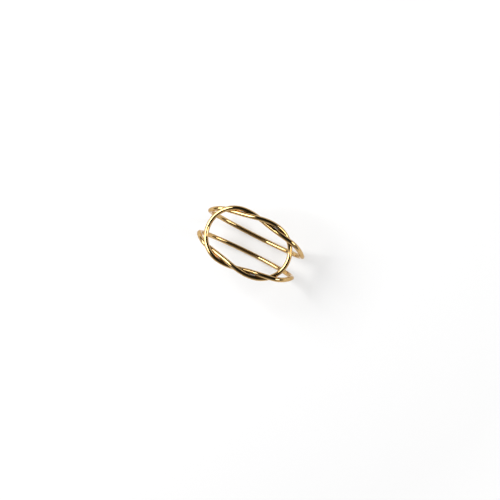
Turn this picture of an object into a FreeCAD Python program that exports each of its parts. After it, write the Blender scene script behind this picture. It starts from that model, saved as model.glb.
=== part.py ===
import FreeCAD, Part
import math
import os

from FreeCAD import Vector

# A napkin ring made of two round wires. Each wire is bent into a hairpin: a round loop at one
# end and two tapering arms. The hairpins face each other and are laced into one another, so
# that their arms make a twist of one full turn on each long side of a flat oval. Past the
# oval the arms go round the sides of the ring and meet end to end at the middle of the back.
# X is along the oval, Y is the way through the ring and Z is up, out of the oval.
# The ring stands on its back wires, and the origin is on the floor below the oval's middle.

document = FreeCAD.newDocument("napkin_ring")

# Two directions that differ by less than this angle, in radians, count as straight.
STRAIGHT = 0.0001

# Driving sizes, in millimetres and degrees
driving_sizes = {
    "wire_diameter": 2.5,
    "crossing_clearance": 0.12,
    "loop_radius": 15.0,
    "loop_reach": 22.9,
    "arm_taper": 9.0,
    "crown_radius": 90.0,
    "half_width": 27.4,
    "side_radius": 15.0,
    "back_radius": 40.0,
    "side_spread": 6.3,
    "back_spread": 4.8,
}
sizes = document.addObject("Spreadsheet::Sheet", "Sizes")
for row, (name, value) in enumerate(driving_sizes.items(), start=1):
    sizes.set(f"A{row}", name.replace("_", " "))
    sizes.set(f"B{row}", str(value))
    sizes.setAlias(f"B{row}", name)
document.recompute()

# Facts of the oval, worked out from the driving sizes. Half the distance between two touching
# wires is the radius of the twist.
taper = math.radians(sizes.arm_taper)
twist_radius = (sizes.wire_diameter + sizes.crossing_clearance) / 2
loop_centre = sizes.loop_reach - sizes.loop_radius

# The arms leave the loop's arc where it runs at the taper. There they lie side by side, a
# quarter of a turn from the crossing in the middle.
quarter_turn = loop_centre + sizes.loop_radius * math.sin(taper)
outer_arm = sizes.loop_radius * math.cos(taper)
inner_arm = outer_arm - 2 * twist_radius
middle_spread = outer_arm - twist_radius + quarter_turn * math.tan(taper) / 2

# An arm that runs on at the taper meets the other wire's loop at the outer crossing.
slope = math.tan(taper)
arm_at_centre_line = inner_arm + slope * quarter_turn
square_term = 1 + slope**2
linear_term = -2 * (slope * arm_at_centre_line + loop_centre)
constant_term = loop_centre**2 + arm_at_centre_line**2 - sizes.loop_radius**2
root = math.sqrt(linear_term**2 - 4 * square_term * constant_term)
outer_crossing = (root - linear_term) / (2 * square_term)

# Side profile of the ring: a crowned face, a shoulder that starts half a wire past the outer
# crossing, a side and a flatter back, all tangent to each other.
shoulder_start = outer_crossing + sizes.wire_diameter / 2
face_turn = math.asin(shoulder_start / sizes.crown_radius)
shoulder_radius = (sizes.half_width - shoulder_start) / (1 - math.sin(face_turn))
back_turn = math.asin((sizes.half_width - sizes.side_radius) / (sizes.back_radius - sizes.side_radius))
profile_arcs = [
    (sizes.crown_radius, face_turn),
    (shoulder_radius, math.pi / 2 - face_turn),
    (sizes.side_radius, math.pi / 2 - back_turn),
    (sizes.back_radius, back_turn),
]


def along_profile(distance):
    """Reach, drop and heading below the level, at a distance along the side profile."""
    reach, drop, heading = 0.0, 0.0, 0.0
    for radius, turn in profile_arcs:
        step = min(distance / radius, turn)
        reach += radius * (math.sin(heading + step) - math.sin(heading))
        drop += radius * (math.cos(heading) - math.cos(heading + step))
        heading += step
        distance -= radius * step
    return reach, drop, heading


face_run = sizes.crown_radius * face_turn
side_run = face_run + shoulder_radius * (math.pi / 2 - face_turn)
back_run = side_run + sizes.side_radius * (math.pi / 2 - back_turn) + sizes.back_radius * back_turn
face_height = sizes.wire_diameter / 2 + along_profile(back_run)[1]


def place(distance, spread, lift):
    """Point of a centreline: its distance along the profile, its spread from the middle plane
    of the ring and its lift off the profile."""
    reach, drop, heading = along_profile(abs(distance))
    reach += lift * math.sin(heading)
    height = face_height - drop + lift * math.cos(heading)
    return Vector(math.copysign(reach, distance), spread, height)


def blend(distance, start, end):
    """Cubic through two stations, each a distance, a spread and a slope."""
    length = end[0] - start[0]
    share = (distance - start[0]) / length
    rest = 1 - share
    ends = start[1] * rest**2 * (1 + 2 * share) + end[1] * share**2 * (3 - 2 * share)
    slopes = start[2] * share * rest**2 - end[2] * share**2 * rest
    return ends + slopes * length


# Stations of an arm past the face. From the side it eases in to the back along a parabola.
arm_at_shoulder = inner_arm - slope * (face_run - quarter_turn)
side_slope = 2 * (sizes.back_spread - sizes.side_spread) / (back_run - side_run)
shoulder_station = (face_run, arm_at_shoulder, -slope)
side_station = (side_run, sizes.side_spread, side_slope)
back_station = (back_run, sizes.back_spread, 0.0)


def lift_past_twist(distance):
    """How far a wire has risen from its neighbour's level to its own at the outer crossing."""
    share = min(1.0, (abs(distance) - quarter_turn) / (outer_crossing - quarter_turn))
    return twist_radius * math.sin(share * math.pi / 2)


def loop_points(over, count=3):
    """Arc from the loop's tip, on the middle plane, to where the arm leaves it."""
    points = []
    for step in range(count):
        angle = (math.pi / 2 - taper) * step / count
        reach = loop_centre + sizes.loop_radius * math.cos(angle)
        spread = sizes.loop_radius * math.sin(angle)
        along = sizes.crown_radius * math.asin(reach / sizes.crown_radius)
        height = face_height - sizes.crown_radius * (1 - math.cos(along / sizes.crown_radius))
        points.append(Vector(-reach, spread, height + over * lift_past_twist(reach)))
    return points


def twist_points(over, count=6):
    """Half a turn round the other wire's arm, from outside it to inside it."""
    points = []
    for step in range(count + 1):
        distance = quarter_turn * (2 * step / count - 1)
        phase = math.pi / 2 * distance / quarter_turn
        middle = middle_spread - slope / (2 * quarter_turn) * distance**2
        spread = middle - twist_radius * math.sin(phase)
        points.append(place(distance, spread, -over * twist_radius * math.cos(phase)))
    return points


def arm_points(over, face_count=2, band_count=8):
    """Straight taper to the shoulder, then round the side to the middle of the back."""
    points = []
    for step in range(1, face_count):
        distance = quarter_turn + (face_run - quarter_turn) * step / face_count
        spread = inner_arm - slope * (distance - quarter_turn)
        points.append(place(distance, spread, over * lift_past_twist(distance)))
    for step in range(band_count + 1):
        distance = face_run + (back_run - face_run) * step / band_count
        before_side = distance < side_run
        stations = (shoulder_station, side_station) if before_side else (side_station, back_station)
        spread = blend(distance, *stations)
        settled = min(1.0, (distance - face_run) / (side_run - face_run))
        lift = over * twist_radius * (1 + math.cos(math.pi * settled)) / 2
        points.append(place(distance, spread, lift))
    return points


def tangent_arc(start, direction, end):
    """Arc from one point to another that sets off in the given direction."""
    chord = end - start
    turn = direction.getAngle(chord)
    bulge = direction - chord * (direction.dot(chord) / chord.dot(chord))
    if turn < STRAIGHT:
        return Part.LineSegment(start, end).toShape()
    middle = (start + end) / 2 + bulge.normalize() * (chord.Length / 2 * math.tan(turn / 2))
    return Part.Arc(start, middle, end).toShape()


def two_arcs(start, start_direction, end, end_direction):
    """Two arcs, tangent where they meet, that join two stations of a centreline."""
    chord = end - start
    both = start_direction + end_direction
    bend = 2 * (1 - start_direction.dot(end_direction))
    along = chord.dot(both)
    reach = chord.dot(chord) / (along + math.sqrt(along**2 + bend * chord.dot(chord)))
    corner = start + start_direction * reach
    far_corner = end - end_direction * reach
    joint = (corner + far_corner) / 2
    first = tangent_arc(start, start_direction, joint)
    second = tangent_arc(joint, (far_corner - corner).normalize(), end)
    return [first, second]


def bent_path(stations):
    """Chain of tangent arcs that follows the smooth curve through the stations. Its two ends,
    in the middle of the back, are level and square to the way through the ring."""
    curve = Part.BSplineCurve()
    curve.interpolate(Points=stations)
    directions = [curve.tangent(curve.parameter(station))[0] for station in stations]
    for end in (0, -1):
        directions[end] = Vector(math.copysign(1, directions[end].x), 0, 0)
    edges = []
    for here in range(len(stations) - 1):
        ahead = here + 1
        edges += two_arcs(stations[here], directions[here], stations[ahead], directions[ahead])
    return Part.Wire(edges)


def bent_rod(path, section):
    """Solid that a circle draws along the chain: a piece of a torus for each arc."""
    ring = section.Edges[0]
    faces = [Part.Face(Part.Wire(ring))]
    for edge in path.Edges:
        run = edge.Curve
        if isinstance(run, Part.Line):
            step = edge.tangentAt(edge.FirstParameter) * edge.Length
            faces.append(ring.extrude(step))
            ring = ring.translated(step)
        else:
            turn = math.degrees(edge.Length / run.Radius)
            faces.append(ring.revolve(run.Center, run.Axis, turn))
            ring = ring.rotated(run.Center, run.Axis, turn)
    faces.append(Part.Face(Part.Wire(ring)))
    skin = Part.makeCompound(faces)
    skin.sewShape()
    return Part.Solid(skin.Shells[0])


def hairpin(name, side, over):
    """One wire. Its loop is at the given side along X. It passes over the other wire at the
    outer crossings and under it in the middle where over is 1, and the other way where it is -1."""
    half = loop_points(over) + twist_points(over) + arm_points(over)
    half = [Vector(-side * point.x, point.y, point.z) for point in half]
    other_half = [Vector(point.x, -point.y, point.z) for point in half[:0:-1]]

    path = document.addObject("Part::Feature", name + "_path")
    path.Shape = bent_path(other_half + half)

    section = document.addObject("Part::Circle", name + "_section")
    section.setExpression("Radius", "Sizes.wire_diameter / 2")
    start = path.Shape.Edges[0]
    across = FreeCAD.Rotation(Vector(0, 0, 1), start.tangentAt(start.FirstParameter))
    section.Placement = FreeCAD.Placement(other_half[0], across)
    document.recompute()

    wire = document.addObject("Part::Feature", name)
    wire.Label = name
    wire.Shape = bent_rod(path.Shape, section.Shape)
    return wire


wires = [
    hairpin("left_loop_wire", -1, 1),
    hairpin("right_loop_wire", 1, -1),
]
document.recompute()

for thing in document.Objects:
    if "Invalid" in thing.State or "Error" in thing.State:
        raise RuntimeError(f"{thing.Label} didn't compute: {thing.State}")
for wire in wires:
    if wire.Shape.isNull() or not wire.Shape.isValid():
        raise RuntimeError(f"{wire.Label} isn't a valid solid")

os.makedirs("parts", exist_ok=True)
for wire in wires:
    wire.Shape.exportStep(f"parts/{wire.Label}.step")
    path = document.getObject(wire.Name + "_path").Shape
    drawn = math.pi * (sizes.wire_diameter / 2) ** 2 * path.Length
    box = wire.Shape.BoundBox
    print(wire.Label, "length", round(path.Length, 1), "volume", round(wire.Shape.Volume, 1), "of", round(drawn, 1))
    print("  box", [round(value, 2) for value in (box.XMin, box.YMin, box.ZMin, box.XMax, box.YMax, box.ZMax)])
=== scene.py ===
import math

import bpy
from mathutils import Matrix, Vector


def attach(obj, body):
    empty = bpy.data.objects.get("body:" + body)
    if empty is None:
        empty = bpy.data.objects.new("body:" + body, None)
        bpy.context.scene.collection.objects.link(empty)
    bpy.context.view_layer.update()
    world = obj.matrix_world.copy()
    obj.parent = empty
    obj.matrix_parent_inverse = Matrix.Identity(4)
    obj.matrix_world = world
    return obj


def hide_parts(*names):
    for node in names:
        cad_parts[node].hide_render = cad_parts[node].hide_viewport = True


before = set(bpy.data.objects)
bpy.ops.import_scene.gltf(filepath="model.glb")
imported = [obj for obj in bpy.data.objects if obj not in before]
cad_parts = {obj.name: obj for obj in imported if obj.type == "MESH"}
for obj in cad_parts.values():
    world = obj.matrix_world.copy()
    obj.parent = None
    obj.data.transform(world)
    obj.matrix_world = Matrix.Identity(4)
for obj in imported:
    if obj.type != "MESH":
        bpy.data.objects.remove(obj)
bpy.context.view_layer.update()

mm = 0.001
wire_radius = 1.25 * mm
twist_radius = 1.31 * mm
loop_radius = 15.0 * mm
loop_reach = 22.9 * mm
half_width = 27.4 * mm
crown_radius = 90.0 * mm
side_radius = 15.0 * mm
back_radius = 40.0 * mm
side_spread = 6.3 * mm
back_spread = 4.8 * mm
taper = math.radians(9.0)
point_spacing = 1.2 * mm
weld_distance = 0.001 * mm
crease_angle = math.radians(40)

loop_centre = loop_reach - loop_radius
quarter_turn = loop_centre + loop_radius * math.sin(taper)
slope = math.tan(taper)
inner_arm = loop_radius * math.cos(taper) - 2 * twist_radius
middle_spread = inner_arm + twist_radius + quarter_turn * slope / 2
arm_at_centre = inner_arm + slope * quarter_turn
half_sum = slope * arm_at_centre + loop_centre
gap_square = loop_centre**2 + arm_at_centre**2 - loop_radius**2
outer_crossing = (half_sum + math.sqrt(half_sum**2 - (1 + slope**2) * gap_square)) / (1 + slope**2)

face_turn = math.asin((outer_crossing + wire_radius) / crown_radius)
shoulder_radius = (half_width - outer_crossing - wire_radius) / (1 - math.sin(face_turn))
back_turn = math.asin((half_width - side_radius) / (back_radius - side_radius))
profile_arcs = [
    (crown_radius, face_turn),
    (shoulder_radius, math.pi / 2 - face_turn),
    (side_radius, math.pi / 2 - back_turn),
    (back_radius, back_turn),
]
face_run = crown_radius * face_turn
side_run = face_run + shoulder_radius * (math.pi / 2 - face_turn)
back_run = side_run + side_radius * (math.pi / 2 - back_turn) + back_radius * back_turn


def along_profile(distance):
    """Reach, drop and heading at a distance along the ring's side profile, from its crown."""
    reach, drop, heading = 0.0, 0.0, 0.0
    for radius, turn in profile_arcs:
        step = min(distance / radius, turn)
        reach += radius * (math.sin(heading + step) - math.sin(heading))
        drop += radius * (math.cos(heading) - math.cos(heading + step))
        heading += step
        distance -= radius * step
    return reach, drop, heading


face_height = wire_radius + along_profile(back_run)[1]


def on_profile(distance, spread, lift):
    """Point at a distance along the profile, with its spread from the middle plane and its lift
    off the profile."""
    reach, drop, heading = along_profile(abs(distance))
    height = face_height - drop + lift * math.cos(heading)
    return Vector((math.copysign(reach + lift * math.sin(heading), distance), spread, height))


def eased(share, start, start_slope, end, end_slope, length):
    """Cubic between two values with the given slopes at its ends."""
    rest = 1 - share
    ends = start * rest**2 * (1 + 2 * share) + end * share**2 * (3 - 2 * share)
    return ends + (start_slope * share * rest**2 - end_slope * share**2 * rest) * length


def lift_past_twist(distance):
    """How far a wire has risen from its neighbour's level to its own at the outer crossing."""
    share = min(1.0, (abs(distance) - quarter_turn) / (outer_crossing - quarter_turn))
    return twist_radius * math.sin(share * math.pi / 2)


def loop_point(share, over):
    """Point of half a loop, from its tip on the middle plane to where the arm leaves it."""
    angle = (math.pi / 2 - taper) * share
    reach = loop_centre + loop_radius * math.cos(angle)
    height = face_height - crown_radius + math.sqrt(crown_radius**2 - reach**2)
    return Vector((-reach, loop_radius * math.sin(angle), height + over * lift_past_twist(reach)))


def arm_point(distance, over):
    """Point of an arm, from where it leaves the loop to the middle of the back."""
    if distance < quarter_turn:
        phase = math.pi / 2 * distance / quarter_turn
        middle = middle_spread - slope / (2 * quarter_turn) * distance**2
        lift = -over * twist_radius * math.cos(phase)
        return on_profile(distance, middle - twist_radius * math.sin(phase), lift)
    if distance < face_run:
        spread = inner_arm - slope * (distance - quarter_turn)
        return on_profile(distance, spread, over * lift_past_twist(distance))
    side_slope = 2 * (back_spread - side_spread) / (back_run - side_run)
    if distance < side_run:
        share = (distance - face_run) / (side_run - face_run)
        at_shoulder = inner_arm - slope * (face_run - quarter_turn)
        spread = eased(share, at_shoulder, -slope, side_spread, side_slope, side_run - face_run)
        lift = over * twist_radius * (1 + math.cos(math.pi * share)) / 2
        return on_profile(distance, spread, lift)
    share = (distance - side_run) / (back_run - side_run)
    spread = eased(share, side_spread, side_slope, back_spread, 0.0, back_run - side_run)
    return on_profile(distance, spread, 0.0)


def linear(hex_colour):
    """Linear red, green, blue and alpha of an sRGB hex colour."""
    colour = []
    for start in (1, 3, 5):
        part = int(hex_colour[start:start + 2], 16) / 255
        colour.append(part / 12.92 if part <= 0.04045 else ((part + 0.055) / 1.055) ** 2.4)
    return colour + [1.0]


def add_node(tree, kind, settings=None, links=None):
    """Adds a node. Settings are its sockets' values, by name or number, or its own properties.
    Links are the sockets of other nodes that feed its own."""
    node = tree.nodes.new(kind)
    for name, value in (settings or {}).items():
        if isinstance(name, int) or name in node.inputs:
            node.inputs[name].default_value = value
        else:
            setattr(node, name, value)
    for name, socket in (links or {}).items():
        tree.links.new(socket, node.inputs[name])
    return node


def gold_plated_brass():
    """Brass that was polished by hand, plated and lacquered. The plating shows every wave that
    the polishing left in the wire, a millimetre or two long. It is mirror-bright but for the
    finest scratches, which widen its glints a little, and it stays golden where it is seen
    edge-on. The lacquer over it is clear and adds sharp glints without any colour. Real scratches
    are finer than these, which are as coarse as they need to be to show."""
    wave_length = 2.5 * mm
    wave_depth = 0.05 * mm
    scratch_width = 0.25 * mm
    material = bpy.data.materials.new("gold_plated_brass")
    material.use_nodes = True
    tree = material.node_tree
    tree.nodes.clear()
    place = add_node(tree, "ShaderNodeTexCoord").outputs["Object"]
    waves = add_node(
        tree, "ShaderNodeTexNoise", {"Scale": 1 / wave_length, "Detail": 1.0}, {"Vector": place})
    scratches = add_node(
        tree, "ShaderNodeTexNoise", {"Scale": 1 / scratch_width, "Detail": 3.0}, {"Vector": place})
    gloss = add_node(
        tree, "ShaderNodeMapRange",
        {"From Min": 0.3, "From Max": 0.7, "To Min": 0.05, "To Max": 0.11},
        {"Value": scratches.outputs["Fac"]})
    tone = add_node(tree, "ShaderNodeValToRGB", links={"Fac": waves.outputs["Fac"]})
    tone.color_ramp.elements[0].position = 0.3
    tone.color_ramp.elements[0].color = linear("#BE9857")
    tone.color_ramp.elements[1].position = 0.7
    tone.color_ramp.elements[1].color = linear("#CBA76B")
    waviness = add_node(
        tree, "ShaderNodeBump", {"Strength": 0.2, "Distance": wave_depth},
        {"Height": waves.outputs["Fac"]})
    metal = add_node(
        tree, "ShaderNodeBsdfPrincipled",
        {"Metallic": 1.0, "Specular Tint": linear("#DDB977"),
         "Coat Weight": 1.0, "Coat Roughness": 0.03},
        {"Base Color": tone.outputs["Color"], "Roughness": gloss.outputs["Result"]})
    tree.links.new(waviness.outputs["Normal"], metal.inputs["Normal"])
    add_node(tree, "ShaderNodeOutputMaterial", links={"Surface": metal.outputs["BSDF"]})
    return material


plating = gold_plated_brass()


def hairpin(name, node, side, over):
    """One wire with its loop at the given side. Over is 1 where it passes over the other wire at
    the outer crossings and under it in the middle, and -1 where it is the other way round."""
    arm_run = back_run + quarter_turn
    loop_count = round(loop_radius * math.pi / 2 / point_spacing)
    arm_count = round(arm_run / point_spacing)
    half = [loop_point(step / loop_count, over) for step in range(loop_count)]
    for step in range(arm_count + 1):
        half.append(arm_point(arm_run * step / arm_count - quarter_turn, over))
    half = [Vector((-side * point.x, point.y, point.z)) for point in half]
    route = [Vector((point.x, -point.y, point.z)) for point in half[:0:-1]] + half

    bpy.ops.object.select_all(action="DESELECT")
    bpy.ops.curve.primitive_nurbs_path_add(location=(0, 0, 0))
    wire = bpy.context.object
    wire.name = name
    curve = wire.data
    curve.splines.clear()
    spline = curve.splines.new("NURBS")
    spline.points.add(len(route) - 1)
    for point, place in zip(spline.points, route):
        point.co = (*place, 1.0)
    spline.use_endpoint_u = True
    spline.order_u = 4
    curve.resolution_u = 3
    curve.twist_mode = "MINIMUM"
    curve.bevel_depth = wire_radius
    curve.bevel_resolution = 10
    curve.use_fill_caps = True
    bpy.ops.object.convert(target="MESH")
    bpy.ops.object.mode_set(mode="EDIT")
    bpy.ops.mesh.select_all(action="SELECT")
    bpy.ops.mesh.remove_doubles(threshold=weld_distance)
    bpy.ops.mesh.normals_make_consistent(inside=False)
    bpy.ops.object.mode_set(mode="OBJECT")
    bpy.ops.object.shade_smooth_by_angle(angle=crease_angle)
    wire.data.materials.clear()
    wire.data.materials.append(plating)
    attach(wire, "root")
    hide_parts(node)


hairpin("left_hairpin", "left_loop_wire", -1, 1)
hairpin("right_hairpin", "right_loop_wire", 1, -1)

# Floor: a pale table top that the ring stands on. It takes the ring's shadow. Past the reach of
# the lamps it is lifted to white, also where the metal mirrors it.
floor_size = 6.0
lift_starts = 0.15
lift_ends = 0.9
lift_near_ring = 0.32
lift_far_away = 0.95
bpy.ops.object.select_all(action="DESELECT")
bpy.ops.mesh.primitive_plane_add(size=floor_size, location=(0, 0, 0))
floor = bpy.context.object
floor.name = "floor"
table_top = bpy.data.materials.new("pale_table_top")
table_top.use_nodes = True
table = table_top.node_tree
table.nodes.clear()
rays = add_node(table, "ShaderNodeLightPath").outputs
seen = add_node(
    table, "ShaderNodeMath", {"operation": "MAXIMUM"},
    {0: rays["Is Camera Ray"], 1: rays["Is Glossy Ray"]})
seen_at_all = add_node(
    table, "ShaderNodeMath", {"operation": "MAXIMUM"},
    {0: seen.outputs["Value"], 1: rays["Is Transmission Ray"]})
spot = add_node(table, "ShaderNodeTexCoord").outputs["Object"]
away = add_node(table, "ShaderNodeVectorMath", {"operation": "LENGTH"}, {"Vector": spot})
lift = add_node(
    table, "ShaderNodeMapRange",
    {"From Min": lift_starts, "From Max": lift_ends,
     "To Min": lift_near_ring, "To Max": lift_far_away},
    {"Value": away.outputs["Value"]})
glow = add_node(
    table, "ShaderNodeMath", {"operation": "MULTIPLY"},
    {0: seen_at_all.outputs["Value"], 1: lift.outputs["Result"]})
matt = add_node(
    table, "ShaderNodeBsdfPrincipled", {"Base Color": linear("#CBCBCB"), "Roughness": 0.9})
white = add_node(table, "ShaderNodeEmission", links={"Strength": glow.outputs["Value"]})
both = add_node(
    table, "ShaderNodeAddShader", links={0: matt.outputs["BSDF"], 1: white.outputs["Emission"]})
add_node(table, "ShaderNodeOutputMaterial", links={"Surface": both.outputs["Shader"]})
floor.data.materials.append(table_top)

# Surroundings: a low white wall round the table, grey above it and at both ends of the room, and
# nearly black overhead, in a strip between the lamps that leans a little to the back. Heights and
# edges are sines and cosines of angles, as directions have them.
world = bpy.data.worlds.new("studio")
bpy.context.scene.world = world
world.use_nodes = True
sky = world.node_tree
sky.nodes.clear()
white_level = 1.0
grey_level = 0.24
black_level = 0.02
wall_top = 0.12
wall_end = 0.2
overhead = (0.0, 0.26, 0.966)
grey_ends = 0.45
black_starts = 0.65
strip_across = (0.98, 0.2, 0.0)
strip_middle = 0.16
strip_edge = 0.38
ends_start = 0.5
direction = add_node(sky, "ShaderNodeTexCoord").outputs["Generated"]
height = add_node(sky, "ShaderNodeSeparateXYZ", links={"Vector": direction}).outputs["Z"]
wall = add_node(
    sky, "ShaderNodeMapRange",
    {"From Min": wall_top, "From Max": wall_end, "To Min": white_level, "To Max": 0.0},
    {"Value": height})
leaning = add_node(
    sky, "ShaderNodeVectorMath", {"operation": "DOT_PRODUCT", 1: overhead}, {0: direction})
low = add_node(
    sky, "ShaderNodeMapRange",
    {"From Min": grey_ends, "From Max": black_starts, "To Min": grey_level, "To Max": black_level},
    {"Value": leaning.outputs["Value"]})
sideways = add_node(
    sky, "ShaderNodeVectorMath", {"operation": "DOT_PRODUCT", 1: strip_across}, {0: direction})
from_middle = add_node(
    sky, "ShaderNodeMath", {"operation": "SUBTRACT", 1: strip_middle},
    {0: sideways.outputs["Value"]})
off_middle = add_node(
    sky, "ShaderNodeMath", {"operation": "ABSOLUTE"}, {0: from_middle.outputs["Value"]})
beside = add_node(
    sky, "ShaderNodeMapRange",
    {"From Min": strip_edge, "From Max": ends_start, "To Min": black_level, "To Max": grey_level},
    {"Value": off_middle.outputs["Value"]})
grey = add_node(
    sky, "ShaderNodeMath", {"operation": "MAXIMUM"},
    {0: low.outputs["Result"], 1: beside.outputs["Result"]})
level = add_node(
    sky, "ShaderNodeMath", {"operation": "MAXIMUM"},
    {0: grey.outputs["Value"], 1: wall.outputs["Result"]})
room = add_node(
    sky, "ShaderNodeBackground", {"Color": linear("#FFFFFF")}, {"Strength": level.outputs["Value"]})
add_node(sky, "ShaderNodeOutputWorld", links={"Surface": room.outputs["Background"]})


def softbox(name, place, width, depth, watts):
    """A softbox that faces the middle of the ring's face, with its width level."""
    bpy.ops.object.light_add(type="AREA", location=place)
    box = bpy.context.object
    box.name = name
    box.data.shape = "RECTANGLE"
    box.data.size = width
    box.data.size_y = depth
    box.data.energy = watts
    target = Vector((0, 0, face_height))
    box.rotation_euler = (target - box.location).to_track_quat("-Z", "Y").to_euler()


# Lights: a large softbox on the side of the ring's left end and a smaller one at its right.
softbox("key_softbox", (-0.72, -0.02, 0.86), width=0.85, depth=0.76, watts=15.0)
softbox("fill_softbox", (0.69, 0.33, 0.65), width=0.48, depth=0.31, watts=3.7)

# Camera: nearly overhead, turned so that the ring lies aslant, with the ring's left end deeper.
roll = math.radians(9.36)
tilt = math.radians(1.33)
turn = math.radians(26.45)
camera_distance = 1.1
nearest_seen = 0.01
sensor_width = 36 * mm
picture_width = 500
pixels_per_metre = 1916
aim_pixel = (247.46, 243.20)
aim_point = Vector((0, 0, face_height - 1.0 * mm))
across = Vector((math.cos(roll), 0, -math.sin(roll)))
out = Vector((math.sin(roll), 0, math.cos(roll)))
along = Vector((0, math.cos(tilt), 0)) - out * math.sin(tilt)
back = Vector((0, math.sin(tilt), 0)) + out * math.cos(tilt)
right = across * math.cos(turn) + along * math.sin(turn)
up = along * math.cos(turn) - across * math.sin(turn)
offset_right = (picture_width / 2 - aim_pixel[0]) / pixels_per_metre
offset_up = (aim_pixel[1] - picture_width / 2) / pixels_per_metre
bpy.ops.object.camera_add()
camera = bpy.context.object
camera.data.sensor_width = sensor_width / mm
camera.data.lens = camera.data.sensor_width * camera_distance * pixels_per_metre / picture_width
seat = aim_point + back * camera_distance + right * offset_right + up * offset_up
camera.matrix_world = Matrix.Translation(seat) @ Matrix((right, up, back)).transposed().to_4x4()
camera.data.clip_start = nearest_seen
bpy.context.scene.camera = camera
bpy.context.scene.view_settings.view_transform = "Standard"
